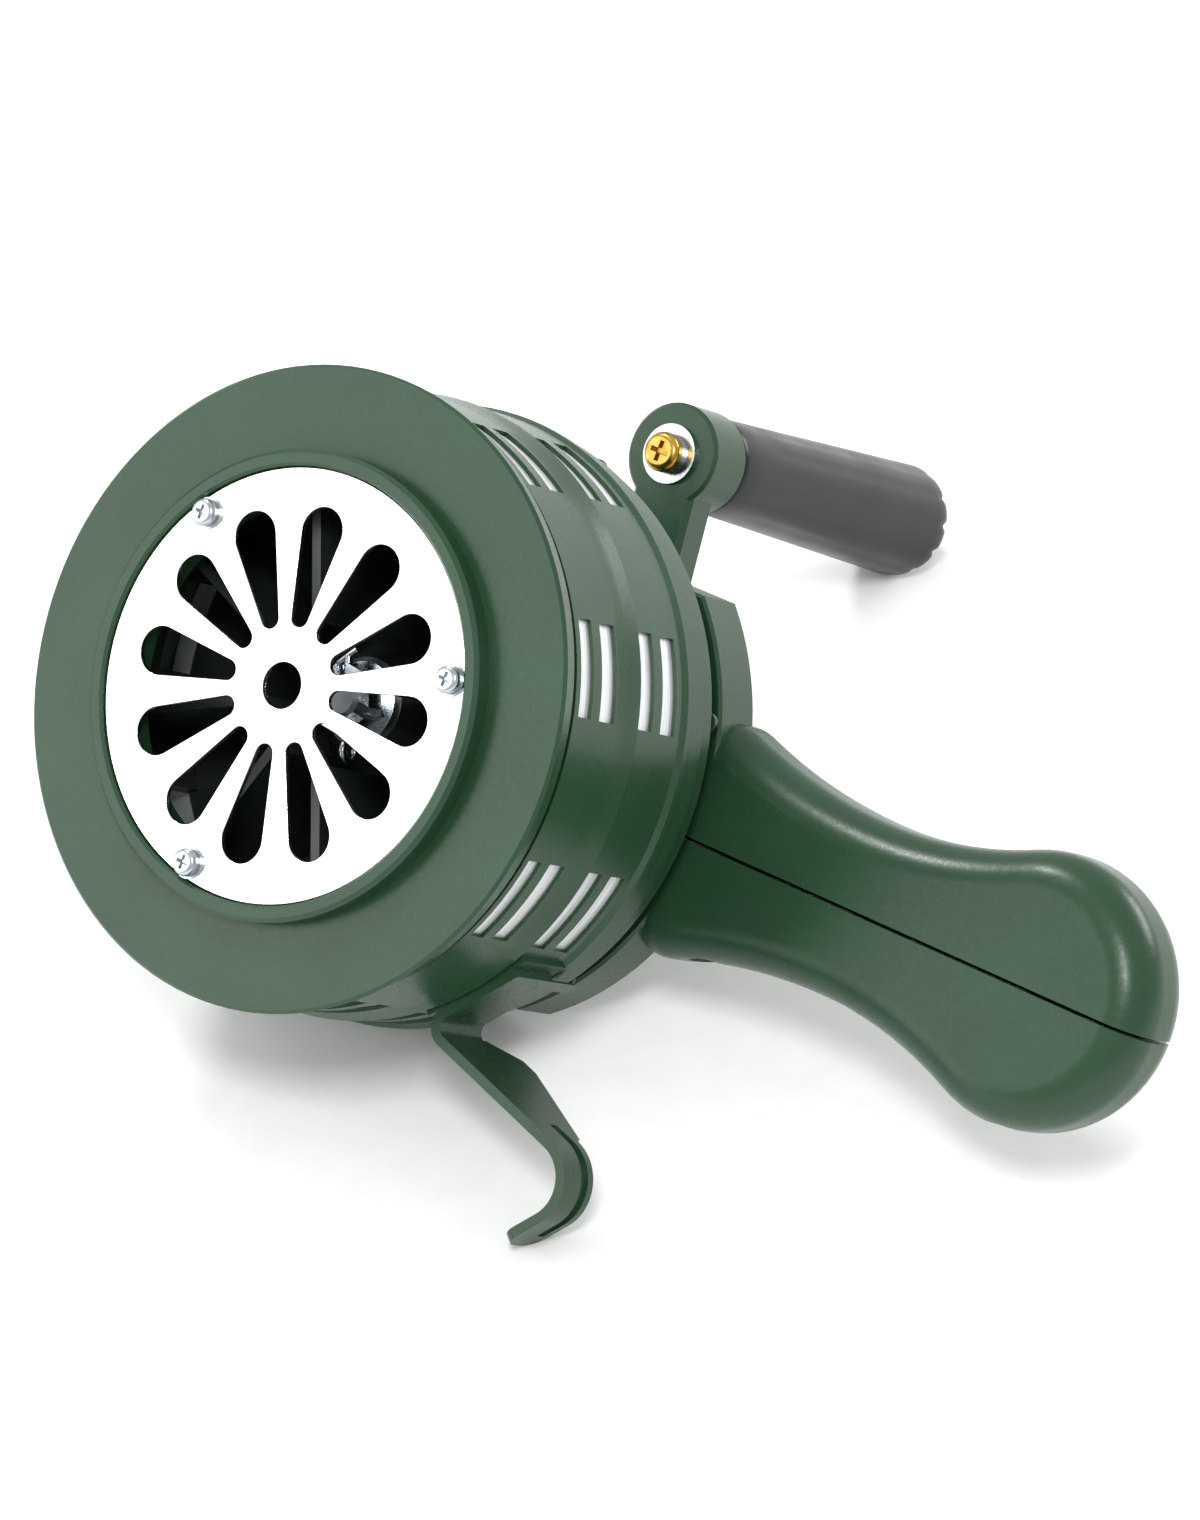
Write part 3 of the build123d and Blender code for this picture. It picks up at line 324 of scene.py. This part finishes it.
def turned_rotor():
    """Rotor casting: bright turned rim outside, dark green primer inside on the vanes and hub."""
    material, tree = new_material("turned_rim_and_primer")
    place = add_node(tree, "ShaderNodeTexCoord").outputs["Object"]
    turn = DRUM_AXIS.to_track_quat("Z", "Y").inverted()
    local = add_node(
        tree, "ShaderNodeMapping", {"Rotation": turn.to_euler(), "Location": -(turn @ DRUM_POINT)},
        {"Vector": place},
    )
    flat = add_node(
        tree, "ShaderNodeVectorMath", {1: (1.0, 1.0, 0.0)}, {0: local.outputs["Vector"]},
        operation="MULTIPLY",
    )
    radius = add_node(tree, "ShaderNodeVectorMath", links={0: flat.outputs["Vector"]}, operation="LENGTH")
    rim = add_node(
        tree, "ShaderNodeMapRange",
        {"From Min": RIM_RADIUS_MM * MM, "From Max": (RIM_RADIUS_MM + RIM_EDGE_MM) * MM},
        {"Value": radius.outputs["Value"]},
    )
    lines = add_node(
        tree, "ShaderNodeTexNoise", {"Scale": per_metre(0.5), "Detail": 2.0},
        {"Vector": add_node(
            tree, "ShaderNodeVectorMath", {1: (0.02, 0.02, 1.0)}, {0: local.outputs["Vector"]},
            operation="MULTIPLY",
        ).outputs["Vector"]},
    )
    bright = ramp(tree, lines.outputs["Fac"], [(0.3, linear("C4C6C8")), (0.7, linear("ECEDEE"))])
    colour = add_node(
        tree, "ShaderNodeMix", {6: (*linear("2A322D"), 1)}, {0: rim.outputs["Result"], 7: bright},
        data_type="RGBA",
    )
    roughness = add_node(
        tree, "ShaderNodeMapRange", {"From Min": 0.3, "From Max": 0.7, "To Min": 0.3, "To Max": 0.46},
        {"Value": lines.outputs["Fac"]},
    )
    bump = add_node(
        tree, "ShaderNodeBump", {"Strength": 0.3, "Distance": 0.02 * MM}, {"Height": lines.outputs["Fac"]},
    )
    sheen = add_node(
        tree, "ShaderNodeMapRange", {"To Max": 0.45}, {"Value": rim.outputs["Result"]},
    )
    surface = add_node(
        tree, "ShaderNodeBsdfPrincipled", {},
        {
            "Base Color": colour.outputs[2], "Metallic": sheen.outputs["Result"],
            "Roughness": roughness.outputs["Result"], "Normal": bump.outputs["Normal"],
        },
    )
    add_node(tree, "ShaderNodeOutputMaterial", links={"Surface": surface.outputs["BSDF"]})
    return material


def moulded_grip():
    """Satin black polypropylene, moulded in a spark-eroded tool: a fine even grain, a little uneven gloss."""
    material, tree = new_material("satin_black_polypropylene")
    place = add_node(tree, "ShaderNodeTexCoord").outputs["Object"]
    grain = add_node(tree, "ShaderNodeTexNoise", {"Scale": per_metre(0.45), "Detail": 2.0}, {"Vector": place})
    cloud = add_node(tree, "ShaderNodeTexNoise", {"Scale": per_metre(14), "Detail": 2.0}, {"Vector": place})
    black = finish().grip
    colour = ramp(tree, cloud.outputs["Fac"], [(0.3, shade(black, 0.85)), (0.7, shade(black, 1.25))])
    roughness = add_node(
        tree, "ShaderNodeMapRange", {"From Min": 0.3, "From Max": 0.7, "To Min": 0.3, "To Max": 0.4},
        {"Value": cloud.outputs["Fac"]},
    )
    bump = add_node(
        tree, "ShaderNodeBump", {"Strength": 0.25, "Distance": 0.04 * MM}, {"Height": grain.outputs["Fac"]},
    )
    surface = add_node(
        tree, "ShaderNodeBsdfPrincipled", {"IOR": 1.49, "Specular IOR Level": 0.35},
        {"Base Color": colour, "Roughness": roughness.outputs["Result"], "Normal": bump.outputs["Normal"]},
    )
    add_node(tree, "ShaderNodeOutputMaterial", links={"Surface": surface.outputs["BSDF"]})
    return material


def studio_white():
    """Matt white paper sweep, with a trace of tooth."""
    material, tree = new_material("matt_white_paper")
    place = add_node(tree, "ShaderNodeTexCoord").outputs["Object"]
    tooth = add_node(tree, "ShaderNodeTexNoise", {"Scale": per_metre(8), "Detail": 2.0}, {"Vector": place})
    colour = ramp(tree, tooth.outputs["Fac"], [(0.3, linear("F7F7F7")), (0.7, linear("FBFBFB"))])
    surface = add_node(
        tree, "ShaderNodeBsdfPrincipled", {"Roughness": 0.95, "Specular IOR Level": 0.1},
        {"Base Color": colour},
    )
    add_node(tree, "ShaderNodeOutputMaterial", links={"Surface": surface.outputs["BSDF"]})
    return material


def material_for(slot):
    """The finish of a material slot of the record, made once."""
    makers = {
        "green_paint": satin_enamel,
        # Bright zinc on rolled sheet: mirror-like, with a faint direction left by the rolls.
        "bright_plate": lambda: metal(
            "bright_zinc_sheet", list(finish().plate), 0.16, 0.26, 0.8, stretch=(1, 0.05, 1), bump_mm=0.006,
        ),
        # Clear zinc on cold-headed steel: bluish white, slightly cloudy.
        "zinc_plate": lambda: metal("clear_zinc_plate", linear("B2B8BE"), 0.16, 0.28, 0.6),
        # Ground and turned steel, lightly oiled.
        "machined_steel": lambda: metal("ground_steel", linear("74777B"), 0.34, 0.5, 0.4),
        # Oil-soaked sintered bronze: dull, porous.
        "bronze": lambda: metal("sintered_bronze", linear("A77B44"), 0.4, 0.55, 0.3, bump_mm=0.02),
        # Yellow-passivated zinc: gold, in lighter and darker patches; the pink and green of the real plating
        # are not drawn.
        "yellow_zinc": lambda: metal(
            "yellow_zinc_plate", list(finish().yellow_zinc), 0.18, 0.3, 0.6, tint_two=linear("C39C50"),
        ),
        "cast_aluminium": turned_rotor,
        "black_grip": moulded_grip,
    }
    if slot not in MADE:
        MADE[slot] = makers[slot]()
    return MADE[slot]


# ---------------------------------------------------------------- shape helpers
def dress(node):
    """Give a CAD node the finish of its slot."""
    mesh = NODES[node].data
    mesh.materials.clear()
    mesh.materials.append(material_for(SLOT_OF[node]))


def piece_from(mesh_maker, name, body, node_slot):
    """Make a named object from a filled bmesh and let it ride on a body."""
    mesh = bpy.data.meshes.new(name)
    mesh_maker.to_mesh(mesh)
    mesh_maker.free()
    piece = bpy.data.objects.new(name, mesh)
    bpy.context.scene.collection.objects.link(piece)
    mesh.materials.append(material_for(node_slot))
    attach(piece, body)
    return piece


def round_edges(node, name, width):
    """Copy a CAD node, merge its loose triangles and round its sharp edges."""
    source = NODES[node]
    shell = bmesh.new()
    shell.from_mesh(source.data)
    bmesh.ops.remove_doubles(shell, verts=shell.verts, dist=WELD_DISTANCE)
    bmesh.ops.dissolve_degenerate(shell, edges=shell.edges, dist=WELD_DISTANCE)
    bmesh.ops.dissolve_limit(
        shell, angle_limit=FLAT_ANGLE, verts=shell.verts, edges=shell.edges, use_dissolve_boundaries=False,
    )
    for face in shell.faces:
        face.smooth = True
    piece = piece_from(shell, name, source["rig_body"], SLOT_OF[node])
    bevel = piece.modifiers.new("rounded_edges", "BEVEL")
    bevel.width = width
    bevel.segments = 2
    bevel.limit_method = "ANGLE"
    bevel.angle_limit = SHARP_ANGLE
    bevel.profile = 0.5
    bevel.use_clamp_overlap = True
    weights = piece.modifiers.new("even_shading", "WEIGHTED_NORMAL")
    weights.weight = 80
    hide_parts(node)
    return piece


def grip_outline():
    """Closed half-section of the grip: front edge, taper, domed end and bore."""
    (near, thin), (far, thick) = GRIP_TAPER
    slope = (thick - thin) / (far - near)
    taper = [(along, thin + slope * (along - near)) for along in GRIP_STATIONS]
    return [(along * MM, radius * MM) for along, radius in (*GRIP_FRONT, *taper, *GRIP_DOME, *GRIP_BORE)]


def press_flutes(grip, turn):
    """Sink shallow flutes into a turned grip, with a notch in its rim at the end of each."""
    first, last = GRIP_FLUTED
    flutes, flute_depth = shape().flutes, shape().flute_depth
    for vert in grip.verts:
        arm = vert.co - GRIP_POINT
        along = arm.dot(DRUM_AXIS)
        out = arm - along * DRUM_AXIS
        if out.length < FLUTE_FLOOR * MM or not first * MM < along < last * MM:
            continue
        local = turn.inverted() @ out
        wave = (1 - cos(flutes * atan2(local.y, local.x))) / 2
        fade = min(1.0, (along - first * MM) / (FLUTE_RUN_OUT * MM))
        notch = max(0.0, min(1.0, (along / MM - NOTCH_START) / NOTCH_RUN))
        groove = flute_depth * fade * wave ** FLUTE_SHARPNESS
        cut = NOTCH_DEPTH * MM * notch * wave ** NOTCH_SHARPNESS
        vert.co -= out.normalized() * (groove + cut)


def softbox(name, place, size, power, target):
    """Add a rectangular area light that faces a point."""
    lamp = bpy.data.lights.new(name, "AREA")
    lamp.shape = "RECTANGLE"
    lamp.size, lamp.size_y = size
    lamp.energy = power
    box = bpy.data.objects.new(name, lamp)
    box.location = place
    box.rotation_euler = (target - Vector(place)).to_track_quat("-Z", "Y").to_euler()
    bpy.context.scene.collection.objects.link(box)


def lay_floor():
    """Lay the paper sweep under the siren."""
    sweep = bmesh.new()
    bmesh.ops.create_grid(sweep, x_segments=FLOOR_CELLS, y_segments=FLOOR_CELLS, size=FLOOR_SIZE)
    mesh = bpy.data.meshes.new("paper_sweep")
    sweep.to_mesh(mesh)
    sweep.free()
    floor = bpy.data.objects.new("paper_sweep", mesh)
    bpy.context.scene.collection.objects.link(floor)
    mesh.materials.append(studio_white())


def light_room():
    """Fill the room with an even white glow."""
    world = bpy.data.worlds.new("white_room")
    world.use_nodes = True
    tree = world.node_tree
    tree.nodes.clear()
    glow = add_node(tree, "ShaderNodeBackground", {"Color": (1, 1, 1, 1), "Strength": ROOM_GLOW})
    add_node(tree, "ShaderNodeOutputWorld", links={"Surface": glow.outputs["Background"]})
    bpy.context.scene.world = world


def set_camera(studio, middle):
    """Aim the camera at the siren from its heading, elevation and distance, and roll it."""
    toward = Vector((
        sin(studio.heading) * cos(studio.elevation),
        cos(studio.heading) * cos(studio.elevation),
        -sin(studio.elevation),
    ))
    lens = bpy.data.cameras.new("camera")
    lens.lens = studio.focal_length
    lens.sensor_width = SENSOR_WIDTH
    camera = bpy.data.objects.new("camera", lens)
    bpy.context.scene.collection.objects.link(camera)
    aim = middle + Vector(studio.aim)
    level = toward.to_track_quat("-Z", "Y").to_matrix()
    rolled = level @ Matrix.Rotation(-studio.roll, 3, "Z")
    camera.matrix_world = Matrix.Translation(aim - toward * studio.distance) @ rolled.to_4x4()
    bpy.context.scene.camera = camera


# ---------------------------------------------------------------- operators
class SIREN_OT_castings(bpy.types.Operator):
    """Round the edges of the enamelled castings"""

    bl_idname = "siren.castings"
    bl_label = "Castings"

    def execute(self, context):
        for node in CASTINGS:
            round_edges(node, f"{node}_cast", shape().casting_edge)
        return {"FINISHED"}


class SIREN_OT_mouth_plate(bpy.types.Operator):
    """Finish the punched plate over the mouth"""

    bl_idname = "siren.mouth_plate"
    bl_label = "Mouth plate"

    def execute(self, context):
        round_edges("mouth_grille", "mouth_plate", shape().plate_edge)
        return {"FINISHED"}


class SIREN_OT_belt_hook(bpy.types.Operator):
    """Finish the bent strip of the belt hook"""

    bl_idname = "siren.belt_hook"
    bl_label = "Belt hook"

    def execute(self, context):
        round_edges("belt_hook", "hook_strip", shape().strip_edge)
        dress("hook_rivets")
        return {"FINISHED"}


class SIREN_OT_grip(bpy.types.Operator):
    """Make the fluted crank grip and finish its cap"""

    bl_idname = "siren.grip"
    bl_label = "Crank grip"

    def execute(self, context):
        turn = DRUM_AXIS.to_track_quat("Z", "Y")
        across = turn @ Vector((1, 0, 0))
        grip = bmesh.new()
        ring = [
            grip.verts.new(GRIP_POINT + DRUM_AXIS * along + across * radius)
            for along, radius in grip_outline()
        ]
        edges = [grip.edges.new(pair) for pair in zip(ring, ring[1:] + ring[:1])]
        bmesh.ops.spin(
            grip, geom=ring + edges, cent=GRIP_POINT, axis=DRUM_AXIS, angle=2 * pi,
            steps=shape().flutes * FLUTE_STEPS, use_merge=True, use_duplicate=False,
        )
        bmesh.ops.remove_doubles(grip, verts=grip.verts, dist=WELD_DISTANCE / 2)
        bmesh.ops.recalc_face_normals(grip, faces=grip.faces)
        press_flutes(grip, turn)
        for face in grip.faces:
            face.smooth = True
        piece = piece_from(grip, "fluted_grip", "grip", "black_grip")
        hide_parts("crank_grip")
        dress("grip_cap")
        return {"FINISHED"}


class SIREN_OT_works(bpy.types.Operator):
    """Finish the rotor, gears, shafts, bearings and fasteners"""

    bl_idname = "siren.works"
    bl_label = "Works and fasteners"

    def execute(self, context):
        for node in sorted(set(NODES) - set(FINISHED_APART)):
            dress(node)
        return {"FINISHED"}


class SIREN_OT_studio(bpy.types.Operator):
    """Set the paper sweep, the soft lights and the camera"""

    bl_idname = "siren.studio"
    bl_label = "Studio"

    def execute(self, context):
        middle = (Vector(CAD_LOW) + Vector(CAD_HIGH)) / 2
        lay_floor()
        for name, place, size, power in SOFTBOXES:
            softbox(name, place, size, power, middle)
        light_room()
        context.scene.view_settings.view_transform = "Standard"
        set_camera(context.scene.siren_studio, middle)
        return {"FINISHED"}


class SIREN_PT_panel(bpy.types.Panel):
    """Steps that finish the siren"""

    bl_idname = "SIREN_PT_panel"
    bl_label = "Siren"
    bl_space_type = "VIEW_3D"
    bl_region_type = "UI"
    bl_category = "Siren"

    def draw(self, context):
        scene = context.scene
        for settings in (scene.siren_finish, scene.siren_shape, scene.siren_studio):
            for name in settings.__annotations__:
                self.layout.prop(settings, name)
        for operator in OPERATORS:
            self.layout.operator(operator.bl_idname)


SETTINGS = {
    "siren_finish": SirenFinishSettings,
    "siren_shape": SirenShapeSettings,
    "siren_studio": SirenStudioSettings,
}
OPERATORS = (
    SIREN_OT_castings, SIREN_OT_mouth_plate, SIREN_OT_belt_hook, SIREN_OT_grip, SIREN_OT_works,
    SIREN_OT_studio,
)
CLASSES = (*SETTINGS.values(), *OPERATORS, SIREN_PT_panel)


def register():
    for item in CLASSES:
        bpy.utils.register_class(item)
    for name, group in SETTINGS.items():
        setattr(bpy.types.Scene, name, PointerProperty(type=group))


def unregister():
    for name in SETTINGS:
        delattr(bpy.types.Scene, name)
    for item in reversed(CLASSES):
        bpy.utils.unregister_class(item)


def main():
    register()
    bpy.ops.siren.castings()
    bpy.ops.siren.mouth_plate()
    bpy.ops.siren.belt_hook()
    bpy.ops.siren.grip()
    bpy.ops.siren.works()
    bpy.ops.siren.studio()


if __name__ == "__main__":
    main()
